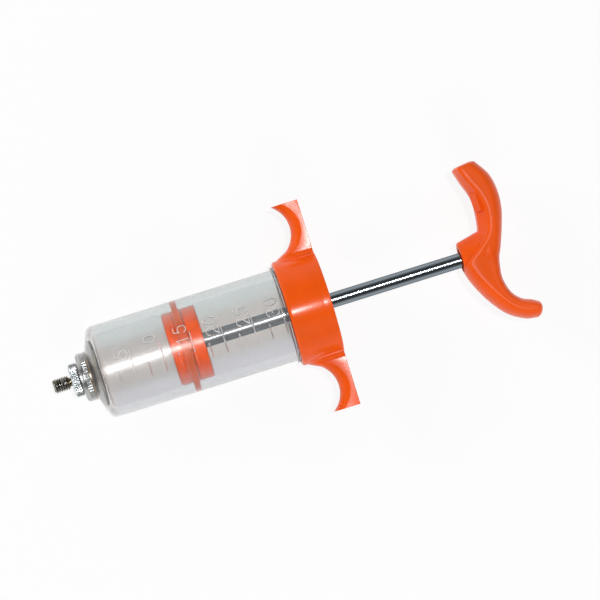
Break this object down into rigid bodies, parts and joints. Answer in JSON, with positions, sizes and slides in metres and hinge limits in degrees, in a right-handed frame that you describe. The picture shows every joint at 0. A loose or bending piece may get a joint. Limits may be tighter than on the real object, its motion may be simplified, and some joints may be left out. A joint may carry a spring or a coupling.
{
  "type": "dosing syringe",
  "caption": "Refillable livestock dosing syringe: clear graduated barrel, screw cap with finger wings, sealed piston on a steel rod, curved palm handle and threaded metal tip.",
  "frame": {"origin": "centre of the bounding box, on the syringe's own axis", "axes": "+X runs along the axis from the threaded tip to the handle, the finger wings reach out along Y, and the scale is on the +Z side"},
  "size_m": [0.1608, 0.07, 0.0356],
  "materials": {
    "clear_plastic": "clear, glossy",
    "orange_plastic": "glossy",
    "seal_rubber": "satin",
    "black_rubber": "matt",
    "nylon": "matt",
    "polished_steel": "polished",
    "nickel_plate": "nickel plated",
    "brass": "turned"
  },
  "bodies": {
    "barrel_body": {"barrel": "clear_plastic", "threaded_insert": "nickel_plate"},
    "connector_ring": {"connector_seal": "black_rubber"},
    "connector": {"tip_connector": "nickel_plate"},
    "guide": {"rod_guide": "nylon"},
    "cap_body": {"cap": "orange_plastic"},
    "seal": {"piston_seal": "seal_rubber"},
    "plunger": {"piston_front": "orange_plastic", "piston_rear": "orange_plastic", "piston_insert": "brass", "rod_washer": "polished_steel", "rod": "polished_steel", "handle": "orange_plastic", "handle_insert": "brass"}
  },
  "joints": [
    {"name": "plunger_slide", "type": "slide", "parent": "barrel_body", "child": "seal", "axis": [1, 0, 0], "range_m": [-0.0229, 0.0378]},
    {"name": "plunger_turn", "type": "hinge", "parent": "seal", "child": "plunger", "pos_m": [-0.04048, 0, 0], "axis": [1, 0, 0], "continuous": true},
    {"name": "cap_travel", "type": "slide", "parent": "barrel_body", "child": "guide", "axis": [1, 0, 0], "range_m": [0, 0.00875]},
    {"name": "cap_turn", "type": "hinge", "parent": "guide", "child": "cap_body", "pos_m": [-0.00069, 0, 0], "axis": [1, 0, 0], "range_deg": [0, 1261]},
    {"name": "connector_travel", "type": "slide", "parent": "barrel_body", "child": "connector_ring", "axis": [-1, 0, 0], "range_m": [0, 0.003]},
    {"name": "connector_turn", "type": "hinge", "parent": "connector_ring", "child": "connector", "pos_m": [-0.0742, 0, 0], "axis": [-1, 0, 0], "range_deg": [0, 1081]}
  ],
  "couplings": [
    {"joint": "cap_turn", "follows": "cap_travel", "rad_per_m": 2513.3},
    {"joint": "connector_turn", "follows": "connector_travel", "rad_per_m": 6283.2}
  ]
}
